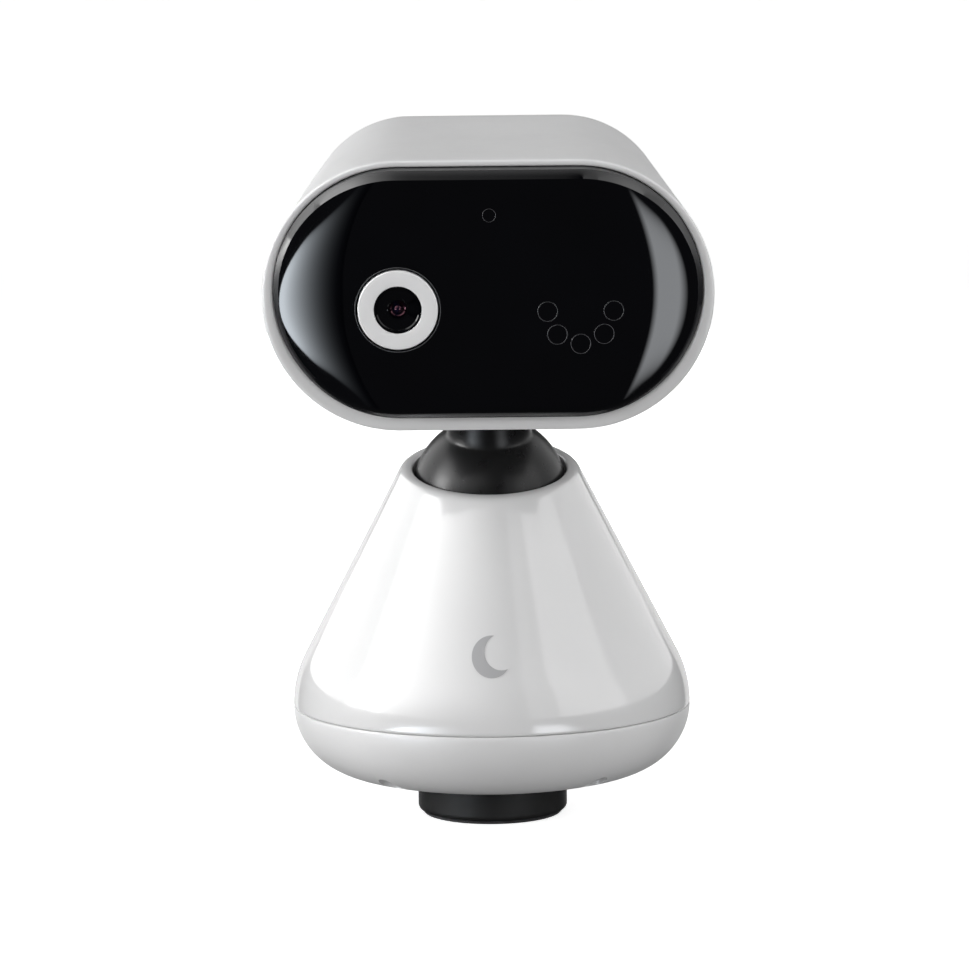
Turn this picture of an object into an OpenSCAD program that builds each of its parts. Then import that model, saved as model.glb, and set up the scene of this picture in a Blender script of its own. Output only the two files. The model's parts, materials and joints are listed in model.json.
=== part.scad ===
// Baby monitor camera: an oval head on a ball joint, over a cone that pans on a round foot.
// Millimetres. Origin at the centre of the foot's underside, +Z up, the lens looks towards -Y.

/* [Base] */
// Largest radius of the base, at its seam
base_r = 41.7; // [41:0.1:42.5]
// Height of the seam between the upper and lower shells
seam_z = 23.5; // [23.2:0.1:24]
// How fast the cone's radius falls with height
cone_slope = 0.522; // [0.515:0.001:0.53]
// Radius of the shoulder between the cone and the seam
shoulder_r = 23; // [21:0.5:24]
// Radius of the corner between the seam and the underside
corner_r = 14.2; // [13.8:0.1:14.6]
// Height where the underside would meet the axis
belly_z = 6.1; // [5.8:0.1:6.3]
// Wall of both base shells
base_wall = 2.2; // [1.8:0.1:2.4]
// Distance of the case screws from the axis
screw_ring_r = 33; // [32.6:0.1:33.2]

/* [Foot] */
// Radius of the foot
foot_r = 15.7; // [15:0.1:15.8]
// Height of the foot's flange, where the base rides
foot_h = 12; // [11.8:0.1:12.2]
// Radius of the foot's hub
hub_r = 8; // [7.5:0.1:8.2]
// Minor radius of the stand thread in the underside
stand_thread_r = 2.6; // [2.4:0.1:3]

/* [Pan drive] */
// Tooth module of the pan gears
gear_module = 0.5; // [0.5:0.05:0.5]
// Teeth on the fixed gear, a multiple of the pinion's
gear_teeth = 48; // [48:1:48]
// Teeth on the motor's pinion
pinion_teeth = 12; // [12:1:12]
// Sideways play between meshing teeth
backlash = 0.16; // [0.12:0.01:0.2]

/* [Socket and ball] */
// Height of the ball's centre
ball_z = 67.8; // [67.4:0.1:68.2]
// Radius of the ball
ball_r = 16.35; // [16:0.05:16.4]
// Forward lean of the socket, in degrees
socket_lean = 13.4; // [12:0.1:14]
// Distance from the ball's centre to the rim
rim_h = 5.8; // [5.4:0.1:6.2]
// Radius of the opening in the rim
rim_bore_r = 16.05; // [16:0.05:16.3]
// Radius of the stem between ball and head
stem_r = 7.6; // [7:0.1:8]

/* [Head] */
// Forward tip of the head at rest, in degrees
head_pitch = 6; // [2:0.5:10]
// Depth of the white housing
head_depth = 58; // [56:1:60]
// Distance of the housing's front rim ahead of the ball's centre
head_ahead = 31; // [30:0.5:32]
// End radius of the oval front
front_end_r = 27.3; // [27:0.1:27.6]
// End radius of the oval back
back_end_r = 21.8; // [21.5:0.1:22.2]
// Half length of the straight part of the front
front_flat = 17.8; // [17.5:0.1:18.2]
// Half length of the straight part of the back
back_flat = 16; // [15.8:0.1:16.4]
// Height of the front's centre above the ball's centre
front_mid = 47.2; // [47:0.1:47.4]
// Height of the back's centre above the ball's centre
back_mid = 54.2; // [54:0.1:54.6]
// Wall of the housing
head_wall = 2; // [1.8:0.1:2.2]

/* [Face] */
// End radius of the dark visor
visor_end_r = 24.8; // [24.6:0.1:25]
// Height of the visor's centre above the ball's centre
visor_mid = 48.3; // [48.2:0.1:48.4]
// How far the visor's middle stands out of the rim
visor_proud = 5.4; // [5.2:0.1:5.8]
// Radius of the visor's dome, seen from above
visor_dome_r = 190; // [185:5:220]
// Distance of lens and lamps from the middle of the face
eye_x = 17.9; // [17.5:0.1:18.3]
// Height of the lens above the ball's centre
eye_z = 45.2; // [45:0.1:45.6]
// Outer radius of the white lens ring
lens_ring_r = 8.2; // [8:0.1:8.3]
// Inner radius of the white lens ring
lens_ring_bore = 4.85; // [4.8:0.05:5]
// Number of infrared lamps
lamp_count = 5; // [3:1:5]
// Radius of the lamps' arc
lamp_arc_r = 6.55; // [6.4:0.05:6.8]

/* [Hidden] */

$fn = 96;
eps = 0.01;
run_gap = 0.05;          // radial clearance of a turning shaft
loose = 0.4;             // gap between skins that pass each other
seam_gap = 0.15;         // each shell stops this far from the seam

// Outline of the base
shoulder_x = base_r - shoulder_r;
corner_x = base_r - corner_r;
flank = atan(cone_slope);
belly_rise = seam_z - belly_z;
belly_r = (corner_x * corner_x + belly_rise * belly_rise - corner_r * corner_r)
          / (2 * (belly_rise - corner_r));
belly_mid_z = belly_z + belly_r;
belly_turn = atan2(corner_x, belly_mid_z - seam_z);
cone_top = 90;

// Heights inside the base
pad_t = 1.6;
foot_lift = 0.6;
washer_t = 0.5;
floor_z = foot_h + washer_t;
floor_t = 2.2;
gear_z = 16;
gear_t = 3;
chassis_z = 19.9;
chassis_t = 1.5;
hub_top = 20.6;
clip_z = gear_z + gear_t;
clip_t = 0.8;
deck_z = chassis_z + chassis_t;
board_z = 27;
board_t = 1.6;
sleeve_r = foot_r + loose;

// Case screws
screw_turns = [52, 128, 232, 308];
boss_r = 3.5;
screw_head_r = 1.8;
screw_seat_z = 14;
screw_r = 1.2;

// Gears
gear_gap = gear_module * (gear_teeth + pinion_teeth) / 2;
pressure = 25;
addendum = 0.8;
dedendum = 1.15;

// Motor
motor_r = 10;
motor_h = 11.6;
shaft_r = 1.25;
motor_ears = [-90, 20];
motor_ear_r = 13;

// Power board and its inlet
board_w = 30;
board_d = 20;
board_y = 24;
inlet_w = 9;
inlet_h = 3.2;
inlet_len = 8.4;
inlet_front_y = 40;
inlet_z = board_z + board_t + inlet_h / 2;

// Speaker, set square to the cone's inner face
speaker_z = 44;
speaker_r = 8;
speaker_t = 3.6;
speaker_in = 2.4;
cone_in_r = shoulder_x + (shoulder_r - base_wall) * cos(flank)
            - cone_slope * (speaker_z - seam_z - (shoulder_r - base_wall) * sin(flank));

// Ball and socket
rim_mid_y = -2.1;
ball_y = rim_mid_y + rim_h * sin(socket_lean);
cup_r = 17.5;
cup_bore = ball_r + 0.3;
cup_top = 1.6;
cup_relief_r = 18;
pin_r = 1.2;
pin_in = 12.4;
pivot_tube_r = 7;
pivot_bore = 5;
plate_top = -18.4;
plate_t = 2.2;
plate_screw_x = 21;
spring_t = 1.2;
pivot_clip_t = 1;
pivot_end = -24.4;

// Head, in its own frame: origin at the ball's centre, before it is tipped
front_y = -head_ahead;
back_y = head_depth - head_ahead;
bottom_lean = atan2((back_mid - back_end_r) - (front_mid - front_end_r), head_depth);
bottom_mid = front_mid - front_end_r + head_ahead * tan(bottom_lean);
stem_h = bottom_mid * cos(bottom_lean);
stem_in = (bottom_mid + head_wall) * cos(bottom_lean);
stem_tube_r = 5;
wire_bore = 3.2;

visor_flat = 17.9;
visor_wall = 2;
visor_back = front_y + 2.4;
frame_t = 1.6;
ledge_y = visor_back + frame_t;
ledge_t = 1.5;
visor_tip = front_y - visor_proud;
post_r = 2.5;
post_x = 30;
post_zs = [47, 62];
main_y = 4;
main_t = 1.6;
cover_t = 2.6;
cover_y = back_y + 0.3 - cover_t;
cover_end_r = 19.5;
lamp_r = 2;
lamp_mid_z = 45;
button_r = 4;
button_z = 47;
mic_z = 28.3;

shell_white = "whitesmoke";
black_plastic = "#1b1b1d";
visor_black = "#08080a";
board_green = "#1f6b3a";
steel = "silver";
brass = "#b5954a";

// ---------- frames ----------

module at_ball() {
    translate([0, ball_y, ball_z]) children();
}

module in_socket() {
    at_ball() rotate([socket_lean, 0, 0]) children();
}

module in_head() {
    at_ball() rotate([head_pitch, 0, 0]) children();
}

module on_stem() {
    in_head() rotate([bottom_lean, 0, 0]) children();
}

// Turns a child drawn in X and Y with height +Z to face forwards, with Y up and height +Z to -Y
module facing(y) {
    translate([0, y, 0]) rotate([90, 0, 0]) children();
}

// ---------- shared shapes ----------

module ring(outer, inner, h) {
    difference() {
        cylinder(r = outer, h = h);
        translate([0, 0, -eps]) cylinder(r = inner, h = h + 2 * eps);
    }
}

// Half outline of the upper base, inset from the outer face
module upper_outline(inset = 0) {
    r = shoulder_r - inset;
    touch = [shoulder_x + r * cos(flank), seam_z + r * sin(flank)];
    intersection() {
        translate([shoulder_x, seam_z]) circle(r = r);
        translate([0, seam_z]) square([base_r, shoulder_r]);
    }
    polygon([[0, seam_z], [shoulder_x, seam_z], touch,
             [touch[0] - cone_slope * (cone_top - touch[1]), cone_top], [0, cone_top]]);
}

// Half outline of the lower base, inset from the outer face
module lower_outline(inset = 0) {
    reach = corner_r + 4;
    out = [corner_x + reach * sin(belly_turn), seam_z - reach * cos(belly_turn)];
    intersection() {
        translate([corner_x, seam_z]) circle(r = corner_r - inset);
        translate([0, seam_z - corner_r]) square([base_r, corner_r]);
    }
    intersection() {
        translate([0, belly_mid_z]) circle(r = belly_r - inset, $fn = 720);
        polygon([[0, seam_z], [corner_x, seam_z], out, [0, 0]]);
    }
}

module upper_solid(inset = 0) {
    rotate_extrude() upper_outline(inset);
}

module lower_solid(inset = 0) {
    rotate_extrude() lower_outline(inset);
}

module at_case_screws() {
    for (a = screw_turns)
        rotate(a) translate([screw_ring_r, 0, 0]) children();
}

// Upright oval in the XY plane: two round ends and a straight middle
module oval(end_r, flat, mid) {
    translate([-flat, mid]) circle(r = end_r);
    translate([flat, mid]) circle(r = end_r);
    translate([-flat, mid - end_r]) square([2 * flat, 2 * end_r]);
}

// Oval block from y0 back to y1
module oval_block(end_r, flat, mid, y0, y1) {
    facing(y1) linear_extrude(y1 - y0) oval(end_r, flat, mid);
}

// Tapered oval body of the housing, inset all round
module head_body(inset, y0, y1, fn = 64) {
    slice = 0.02;
    function at(y, a, b) = a + (b - a) * (y - front_y) / head_depth;
    hull() {
        for (y = [y0, y1 - slice])
            oval_block(at(y, front_end_r, back_end_r) - inset, at(y, front_flat, back_flat),
                       at(y, front_mid, back_mid), y, y + slice, $fn = fn);
    }
}

// A plain screw: a head of height head_h below z = 0 and a shank above it
module screw(head_r, head_h, r, len) {
    translate([0, 0, -head_h]) difference() {
        cylinder(r = head_r, h = head_h);
        translate([-head_r * 0.6, -0.25, -eps]) cube([head_r * 1.2, 0.5, head_h * 0.5]);
        translate([-0.25, -head_r * 0.6, -eps]) cube([0.5, head_r * 1.2, head_h * 0.5]);
    }
    translate([0, 0, -eps]) cylinder(r = r, h = len + eps);
}

// A run of round wire through the given points
module wire(points, r) {
    for (i = [0 : len(points) - 2])
        hull() for (p = [points[i], points[i + 1]])
            translate(p) sphere(r = r, $fn = 16);
}

// ---------- gears ----------

function involute(a) = tan(a) * 180 / PI - a;

// Half angle of a tooth at radius r, for a gear of n teeth
function tooth_half(n, r) =
    let (pitch_r = gear_module * n / 2,
         base = pitch_r * cos(pressure),
         half = (gear_module * PI / 2 - backlash / 2) / 2 / pitch_r * 180 / PI)
    half + involute(pressure) - (r > base ? involute(acos(base / r)) : 0);

module gear_outline(n) {
    pitch_r = gear_module * n / 2;
    tip = pitch_r + addendum * gear_module;
    root = pitch_r - dedendum * gear_module;
    start = max(root, pitch_r * cos(pressure));
    steps = 4;
    radii = [for (i = [0 : steps]) start + (tip - start) * i / steps];
    circle(r = root);
    for (k = [0 : n - 1])
        rotate(k * 360 / n)
            polygon(concat(
                [[root * 0.9, -root * sin(tooth_half(n, start))]],
                [for (r = radii) r * [cos(tooth_half(n, r)), -sin(tooth_half(n, r))]],
                [for (i = [steps : -1 : 0])
                    radii[i] * [cos(tooth_half(n, radii[i])), sin(tooth_half(n, radii[i]))]],
                [[root * 0.9, root * sin(tooth_half(n, start))]]));
}

// ---------- foot ----------

module foot_shell() {
    edge = 1.2;
    wall = 2;
    top_t = 2;
    boss = 6.4;
    color(black_plastic) difference() {
        union() {
            rotate_extrude() difference() {
                translate([0, foot_lift]) square([foot_r, foot_h - foot_lift]);
                translate([foot_r - edge, foot_lift]) difference() {
                    translate([0, -eps]) square([edge + eps, edge + eps]);
                    translate([0, edge]) circle(r = edge);
                }
            }
            cylinder(r = hub_r, h = hub_top);
        }
        // pad recess and the room for the weight
        cylinder(r = foot_r - 1, h = pad_t);
        difference() {
            cylinder(r = foot_r - wall, h = foot_h - top_t);
            cylinder(r = boss, h = foot_h);
        }
        cylinder(r = 4.5, h = foot_h - top_t);
        cylinder(r = 3.4, h = hub_top + 1);
        // groove for the clip, and a flat that stops the gear from turning
        translate([0, 0, clip_z]) ring(hub_r + 1, hub_r - 0.8, clip_t);
        translate([-hub_r, -hub_r - 1, gear_z]) cube([2 * hub_r, 1.6, hub_top]);
    }
}

module foot_pad() {
    color("#26262a") difference() {
        ring(foot_r - 1, 6, pad_t);
        for (r = [8.5, 11.5])
            translate([0, 0, -eps]) ring(r + 0.4, r - 0.4, 0.4);
    }
}

module foot_weight() {
    color("dimgray") translate([0, 0, pad_t]) ring(foot_r - 2, 6.4, 8.2);
}

module stand_insert() {
    color(brass) difference() {
        cylinder(r = 4.5, h = foot_lift + 9);
        translate([0, 0, -eps]) cylinder(r = stand_thread_r, h = 12);
    }
}

module pan_gear() {
    color("ivory") translate([0, 0, gear_z]) difference() {
        linear_extrude(gear_t) gear_outline(gear_teeth);
        translate([0, 0, -eps]) difference() {
            cylinder(r = hub_r, h = gear_t + 1);
            translate([-hub_r, -hub_r - 1, -1]) cube([2 * hub_r, 1.6, gear_t + 3]);
        }
    }
}

module hub_clip() {
    color(steel) translate([0, 0, clip_z]) difference() {
        ring(hub_r + 1.6, hub_r - 0.8, clip_t);
        translate([-2, 0, -eps]) cube([4, hub_r * 2, clip_t + 1]);
    }
}

// ---------- base ----------

module base_lower_shell() {
    color(shell_white) difference() {
        union() {
            difference() {
                lower_solid();
                lower_solid(base_wall);
                translate([0, 0, seam_z - seam_gap]) cylinder(r = base_r + 1, h = 10);
            }
            // tongue that lines up the upper shell
            translate([0, 0, seam_z - 3]) ring(base_r - base_wall - 0.1, base_r - base_wall - 1.3, 4.6);
            intersection() {
                lower_solid(0.4);
                union() {
                    cylinder(r = sleeve_r + 2, h = floor_z + floor_t);
                    at_case_screws() cylinder(r = boss_r, h = chassis_z);
                }
            }
        }
        translate([0, 0, -eps]) cylinder(r = sleeve_r, h = floor_z + eps);
        cylinder(r = hub_r + 1.5, h = seam_z);
        at_case_screws() {
            cylinder(r = screw_head_r + 0.2, h = screw_seat_z);
            cylinder(r = screw_r + 0.15, h = seam_z);
        }
    }
}

module base_upper_shell() {
    rib_t = 2.4;
    color(shell_white) difference() {
        union() {
            difference() {
                upper_solid();
                upper_solid(base_wall);
            }
            intersection() {
                upper_solid(0.3);
                union() {
                    // ring that narrows the opening round the ball
                    in_socket() translate([0, 0, cup_top + 0.8]) ring(24, rim_bore_r, 12);
                    at_case_screws() {
                        translate([0, 0, deck_z]) cylinder(r = boss_r, h = 9);
                        translate([0, -rib_t / 2, seam_z + 1.8]) cube([12, rib_t, 7]);
                    }
                    in_socket() for (s = [-1, 1])
                        translate([s * plate_screw_x, 0, plate_top]) cylinder(r = 2.8, h = -plate_top - 4);
                    speaker_place(0) translate([0, 0, -speaker_in - 2.4]) ring(speaker_r + 1.6, speaker_r + 0.2, 6);
                }
            }
        }
        translate([0, 0, -eps]) cylinder(r = base_r + 1, h = seam_z + seam_gap);
        at_case_screws() cylinder(r = screw_r, h = deck_z + 7);
        // the leaning opening
        in_socket() {
            translate([0, 0, rim_h]) cylinder(r = 60, h = 40);
            translate([0, 0, cup_top + 3]) cylinder(r = rim_bore_r, h = 20);
            sphere(r = ball_r + 0.4);
            intersection() {
                sphere(r = cup_relief_r);
                translate([0, 0, cup_top + 0.8 - 40]) cylinder(r = 40, h = 40);
            }
            for (s = [-1, 1])
                translate([s * plate_screw_x, 0, plate_top - 1]) cylinder(r = 0.9, h = 8);
        }
        // inlet and speaker holes in the back
        translate([0, 0, inlet_z]) rotate([-90, 0, 0]) linear_extrude(base_r + 5) {
            square([inlet_w - inlet_h + 0.4, inlet_h + 0.8], center = true);
            for (s = [-1, 1])
                translate([s * (inlet_w - inlet_h + 0.4) / 2, 0]) circle(d = inlet_h + 0.8);
        }
        speaker_place(0) {
            translate([0, 0, -4]) cylinder(r = 0.7, h = 12, $fn = 24);
            for (n = [1, 2], i = [0 : 6 * n - 1])
                rotate(i * 60 / n) translate([2.6 * n, 0, -4]) cylinder(r = 0.7, h = 12, $fn = 24);
        }
    }
}

// Puts a child on the cone's inner face at the back, +Z outwards
module speaker_place(depth) {
    translate([0, cone_in_r, speaker_z]) rotate([-90 + flank, 0, 0]) translate([0, 0, -depth]) children();
}

module case_screws() {
    color(steel) at_case_screws() translate([0, 0, screw_seat_z])
        screw(screw_head_r, 1.8, screw_r, deck_z + 6 - screw_seat_z);
}

module thrust_washer() {
    color("ivory") translate([0, 0, foot_h]) ring(foot_r - 0.5, hub_r + run_gap, washer_t);
}

module pan_bush() {
    color("tan") translate([0, 0, floor_z]) difference() {
        union() {
            cylinder(r = hub_r + 1.5, h = floor_t + 0.9);
            translate([0, 0, floor_t]) cylinder(r = 11, h = 0.9);
        }
        translate([0, 0, -eps]) cylinder(r = hub_r + run_gap, h = 10);
    }
}

module ballast_ring() {
    color("gray") translate([0, 0, 11]) ring(26, 19, 7.4);
}

module base_chassis() {
    color("#3a3b40") difference() {
        union() {
            translate([0, 0, chassis_z]) cylinder(r = 36.5, h = chassis_t);
            // feet on the ballast, and standoffs under the power board
            for (a = [30 : 60 : 330])
                rotate(a) translate([22.5, 0, 18.4]) cylinder(r = 2, h = chassis_z - 18.4 + eps);
            at_board_corners() translate([0, 0, deck_z]) cylinder(r = 2, h = board_z - deck_z);
        }
        cylinder(r = hub_r + 1.9, h = 30);
        translate([gear_gap, 0, 0]) cylinder(r = 4, h = 30);
        at_case_screws() cylinder(r = screw_r + 0.15, h = 30);
        at_board_corners() translate([0, 0, deck_z + 1]) cylinder(r = 0.8, h = 10);
        at_motor_ears() translate([0, 0, chassis_z - 1]) cylinder(r = 0.9, h = 10);
        for (a = [150 : 30 : 240])
            rotate(a) translate([15, 0, chassis_z - 1]) cylinder(r = 2, h = 4);
    }
}

module at_board_corners() {
    for (x = [-1, 1], y = [-1, 1])
        translate([x * (board_w / 2 - 2.5), board_y + y * (board_d / 2 - 2.5), 0]) children();
}

module at_motor_ears() {
    for (a = motor_ears)
        translate([gear_gap + motor_ear_r * cos(a), motor_ear_r * sin(a), 0]) children();
}

module pan_motor() {
    color(steel) difference() {
        union() {
            translate([gear_gap, 0, deck_z]) cylinder(r = motor_r, h = motor_h);
            translate([gear_gap, 0, deck_z + motor_h]) cylinder(r = 3, h = 1.2);
            for (a = motor_ears)
                translate([gear_gap, 0, deck_z]) rotate(a) {
                    translate([0, -2.6, 0]) cube([motor_ear_r, 5.2, 1.2]);
                    translate([motor_ear_r, 0, 0]) cylinder(r = 2.6, h = 1.2);
                }
        }
        translate([gear_gap, 0, deck_z - eps]) cylinder(r = shaft_r + run_gap, h = 8);
        at_motor_ears() translate([0, 0, deck_z - 1]) cylinder(r = 1, h = 10);
    }
}

module motor_screws() {
    color(steel) at_motor_ears() translate([0, 0, deck_z + 1.2]) rotate([180, 0, 0])
        screw(1.8, 1.2, 0.9, 1.2 + chassis_t);
}

module power_board() {
    color(board_green) difference() {
        translate([-board_w / 2, board_y - board_d / 2, board_z]) cube([board_w, board_d, board_t]);
        at_board_corners() translate([0, 0, board_z - 1]) cylinder(r = 1, h = 5);
    }
}

module board_screws() {
    color(steel) at_board_corners() translate([0, 0, board_z + board_t]) rotate([180, 0, 0])
        screw(1.7, 1.1, 0.8, board_t + 3);
}

module power_parts() {
    top = board_z + board_t;
    color("#202124") {
        translate([-9, 18, top]) cube([7, 7, 1.4]);
        translate([2, 17, top]) cube([5, 4, 1.6]);
        translate([-10.5, 25.5, top]) cube([4.5, 4.5, 3]);
        translate([9.5, 23, top]) cylinder(r = 2.8, h = 4.6);
        translate([0, 24.5, top]) cube([3, 2, 1]);
    }
}

module usb_socket() {
    wall = 0.35;
    module mouth(grow, depth) {
        rotate([90, 0, 0]) linear_extrude(depth) {
            square([inlet_w - inlet_h, inlet_h - 2 * grow], center = true);
            for (s = [-1, 1])
                translate([s * (inlet_w - inlet_h) / 2, 0]) circle(d = inlet_h - 2 * grow);
        }
    }
    color(steel) translate([0, inlet_front_y, inlet_z]) {
        difference() {
            mouth(0, inlet_len);
            translate([0, eps, 0]) mouth(wall, inlet_len - 1);
        }
        translate([-3.3, -inlet_len + 0.5, -0.35]) cube([6.6, inlet_len - 2, 0.7]);
    }
}

module speaker() {
    color("#2c2c30") speaker_place(speaker_in + speaker_t) {
        difference() {
            cylinder(r = speaker_r, h = speaker_t);
            translate([0, 0, 2.4]) cylinder(r1 = 4, r2 = 7, h = 1.2 + eps);
        }
        translate([0, 0, 2.2]) sphere(r = 1.6);
        translate([0, 0, -2.6]) cylinder(r = 4.6, h = 2.6 + eps);
    }
}

module socket_plate() {
    color("#3a3b40") difference() {
        intersection() {
            in_socket() translate([0, 0, plate_top - plate_t]) cylinder(r = 40, h = plate_t);
            upper_solid(base_wall + 0.1);
        }
        in_socket() {
            translate([0, 0, plate_top - plate_t - 1]) cylinder(r = pivot_tube_r + run_gap, h = 10);
            for (s = [-1, 1])
                translate([s * plate_screw_x, 0, plate_top - 5]) cylinder(r = 1.1, h = 10);
            for (a = [45, 135, 225, 315])
                rotate(a) translate([15.5, 0, plate_top - 5]) cylinder(r = 2.6, h = 10);
        }
    }
}

module plate_screws() {
    color(steel) in_socket() for (s = [-1, 1])
        translate([s * plate_screw_x, 0, plate_top - plate_t]) screw(1.9, 1.2, 0.9, plate_t + 6);
}

module friction_spring() {
    color("#8f9297") in_socket() translate([0, 0, plate_top - plate_t - spring_t])
        ring(pivot_tube_r + 3.4, pivot_tube_r + 0.4, spring_t);
}

module front_mark() {
    mark_z = 39;
    r = 4;
    skin = 0.12;
    low = mark_z - r - 1;
    high = mark_z + r + 1;
    touch_r = shoulder_x + shoulder_r * cos(flank);
    touch_z = seam_z + shoulder_r * sin(flank);
    function cone_r(z) = touch_r - cone_slope * (z - touch_z);
    color("#b9babd") intersection() {
        translate([0, 0, low]) difference() {
            cylinder(r1 = cone_r(low) + skin, r2 = cone_r(high) + skin, h = high - low);
            translate([0, 0, -eps]) cylinder(r1 = cone_r(low - eps), r2 = cone_r(high + eps), h = high - low + 2 * eps);
        }
        translate([0, 0, mark_z]) rotate([90, 0, 0]) linear_extrude(base_r + 5) difference() {
            circle(r = r);
            translate([r * 0.5, r * 0.22]) circle(r = r * 0.86);
        }
    }
}

module base_cable() {
    below = pivot_end - 2;
    foot_end = [-4, 15.6, board_z + board_t + 1.1];
    top = [0, ball_y - below * sin(socket_lean), ball_z + below * cos(socket_lean)];
    color("#55565c") wire([foot_end, [-4, 15, 34], [-2, 8, 40], top], 1.1);
}

// ---------- pinion ----------

module pan_pinion() {
    color("ivory") translate([gear_gap, 0, gear_z - 0.1]) difference() {
        union() {
            linear_extrude(gear_t + 0.2) rotate(180 / pinion_teeth) gear_outline(pinion_teeth);
            translate([0, 0, gear_t + 0.2]) cylinder(r = 2, h = 1);
        }
        translate([0, 0, -eps]) cylinder(r = shaft_r, h = 10);
    }
}

module motor_shaft() {
    color(steel) translate([gear_gap, 0, gear_z]) cylinder(r = shaft_r, h = deck_z - gear_z + 7);
}

// ---------- swivel cup ----------

module swivel_cup() {
    groove_z = pivot_end + 0.6;
    tube_top = -15;
    color("#2a2a2e") in_socket() difference() {
        rotate_extrude() difference() {
            union() {
                polygon([[pivot_bore, cup_top], [cup_r, cup_top], [cup_r, -5],
                         [12, -14.5], [pivot_tube_r, -17.6], [pivot_bore, -17.6]]);
                translate([pivot_bore, pivot_end]) square([pivot_tube_r - pivot_bore, tube_top - pivot_end]);
            }
            circle(r = cup_bore);
            translate([pivot_tube_r - 0.6, groove_z]) square([1, pivot_clip_t]);
        }
        // the wall falls away in front and behind, so that only the two ears reach the pins
        for (s = [-1, 1])
            translate([-30, s * 21 - 15, -4]) cube([60, 30, 20]);
        for (s = [0, 180]) rotate(s)
            translate([pin_in, 0, 0]) rotate([0, 90, 0]) cylinder(r = pin_r, h = 20);
    }
}

module tilt_pins() {
    color(steel) in_socket() for (s = [0, 180]) rotate(s)
        translate([pin_in, 0, 0]) rotate([0, 90, 0]) cylinder(r = pin_r, h = cup_r - pin_in - 0.15);
}

module swivel_clip() {
    color(steel) in_socket() translate([0, 0, pivot_end + 0.6]) difference() {
        ring(pivot_tube_r + 2.6, pivot_tube_r - 0.6, pivot_clip_t);
        translate([-1.8, 0, -1]) cube([3.6, 20, 5]);
    }
}

// ---------- head ----------

module ball_stem() {
    fillet = 2.4;
    sweep_r = ball_r + fillet;
    fillet_x = stem_r + fillet;
    fillet_z = sqrt(sweep_r * sweep_r - fillet_x * fillet_x);
    color(black_plastic) on_stem() difference() {
        union() {
            sphere(r = ball_r, $fn = 128);
            cylinder(r = stem_r, h = stem_h);
            cylinder(r = stem_tube_r, h = stem_h + 8);
            rotate_extrude() difference() {
                polygon([[0, 0], [ball_r * fillet_x / sweep_r, ball_r * fillet_z / sweep_r],
                         [fillet_x, fillet_z], [0, fillet_z]]);
                translate([fillet_x, fillet_z]) circle(r = fillet);
            }
        }
        translate([0, 0, -30]) cylinder(r = wire_bore, h = 90);
        translate([0, 0, -ball_r]) cylinder(r1 = 12, r2 = wire_bore, h = 11);
        rotate([-bottom_lean, 0, 0]) for (s = [0, 180]) rotate(s)
            translate([pin_in - 0.4, 0, 0]) rotate([0, 90, 0]) cylinder(r = pin_r + run_gap, h = 20);
    }
}

module stem_washer() {
    color(steel) on_stem() translate([0, 0, stem_in]) ring(9, stem_tube_r + 0.1, 0.6);
}

module stem_nut() {
    color(brass) on_stem() translate([0, 0, stem_in + 0.6]) difference() {
        cylinder(r = 8.4, h = 3.6, $fn = 6);
        translate([0, 0, -1]) cylinder(r = stem_tube_r, h = 8);
    }
}

module head_housing() {
    color(shell_white) in_head() difference() {
        head_body(0, front_y, back_y);
        head_body(head_wall, ledge_y + ledge_t, back_y + 1);
        oval_block(visor_end_r - 2.6, visor_flat, visor_mid, front_y, back_y - 20);
        oval_block(visor_end_r + 0.1, visor_flat, visor_mid, front_y - 1, ledge_y);
        rotate([bottom_lean, 0, 0]) cylinder(r = stem_tube_r + 0.1, h = 40);
    }
}

module rear_cover() {
    color(shell_white) in_head() difference() {
        union() {
            oval_block(cover_end_r, back_flat - 0.2, back_mid - 0.1, cover_y, back_y + 0.3);
            at_posts(cover_y) cylinder(r = post_r, h = cover_y - main_y - main_t);
        }
        at_posts(back_y + 1) cylinder(r = 1.1, h = 40);
        at_posts(back_y + 1) cylinder(r = 2.2, h = 1.9);
        translate([0, 0, button_z]) facing(back_y + 1) cylinder(r = button_r + loose, h = 10);
        // vents
        for (i = [-3 : 3])
            translate([i * 4, 0, 63]) facing(back_y + 1) {
                translate([-0.7, -3.5, 0]) cube([1.4, 7, 10]);
                for (s = [-1, 1]) translate([0, s * 3.5, 0]) cylinder(r = 0.7, h = 10, $fn = 24);
            }
    }
}

// The four posts between visor and rear cover, drawn forwards from y
module at_posts(y) {
    for (x = [-post_x, post_x], z = post_zs)
        translate([x, 0, z]) facing(y) children();
}

module cover_screws() {
    color(steel) in_head() at_posts(back_y + 0.3 - 1.2) screw(2, 1.1, 1, 28);
}

module visor_form(inset, back) {
    intersection() {
        oval_block(visor_end_r - inset, visor_flat, visor_mid, visor_tip - 1, back);
        translate([0, visor_tip + visor_dome_r, 0]) cylinder(r = visor_dome_r - inset, h = 90, $fn = 720);
    }
}

module visor() {
    color(visor_black) in_head() difference() {
        visor_form(0, visor_back);
        visor_form(visor_wall, visor_back + 1);
        translate([-eye_x, 0, eye_z]) facing(visor_back) cylinder(r = lens_ring_r, h = 20);
    }
}

module front_frame() {
    color("#3a3b40") in_head() difference() {
        union() {
            oval_block(visor_end_r, visor_flat, visor_mid, visor_back, ledge_y);
            at_posts(main_y) cylinder(r = post_r, h = main_y - ledge_y + eps);
        }
        at_posts(main_y + 1) cylinder(r = 1, h = 10);
        translate([-eye_x, 0, eye_z]) facing(main_y) cylinder(r = 5.2, h = 60);
        translate([0, 0, mic_z]) facing(main_y) cylinder(r = 0.8, h = 60);
        translate([-4, visor_back - 1, 54]) cube([8, frame_t + 2, 5]);
    }
}

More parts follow.
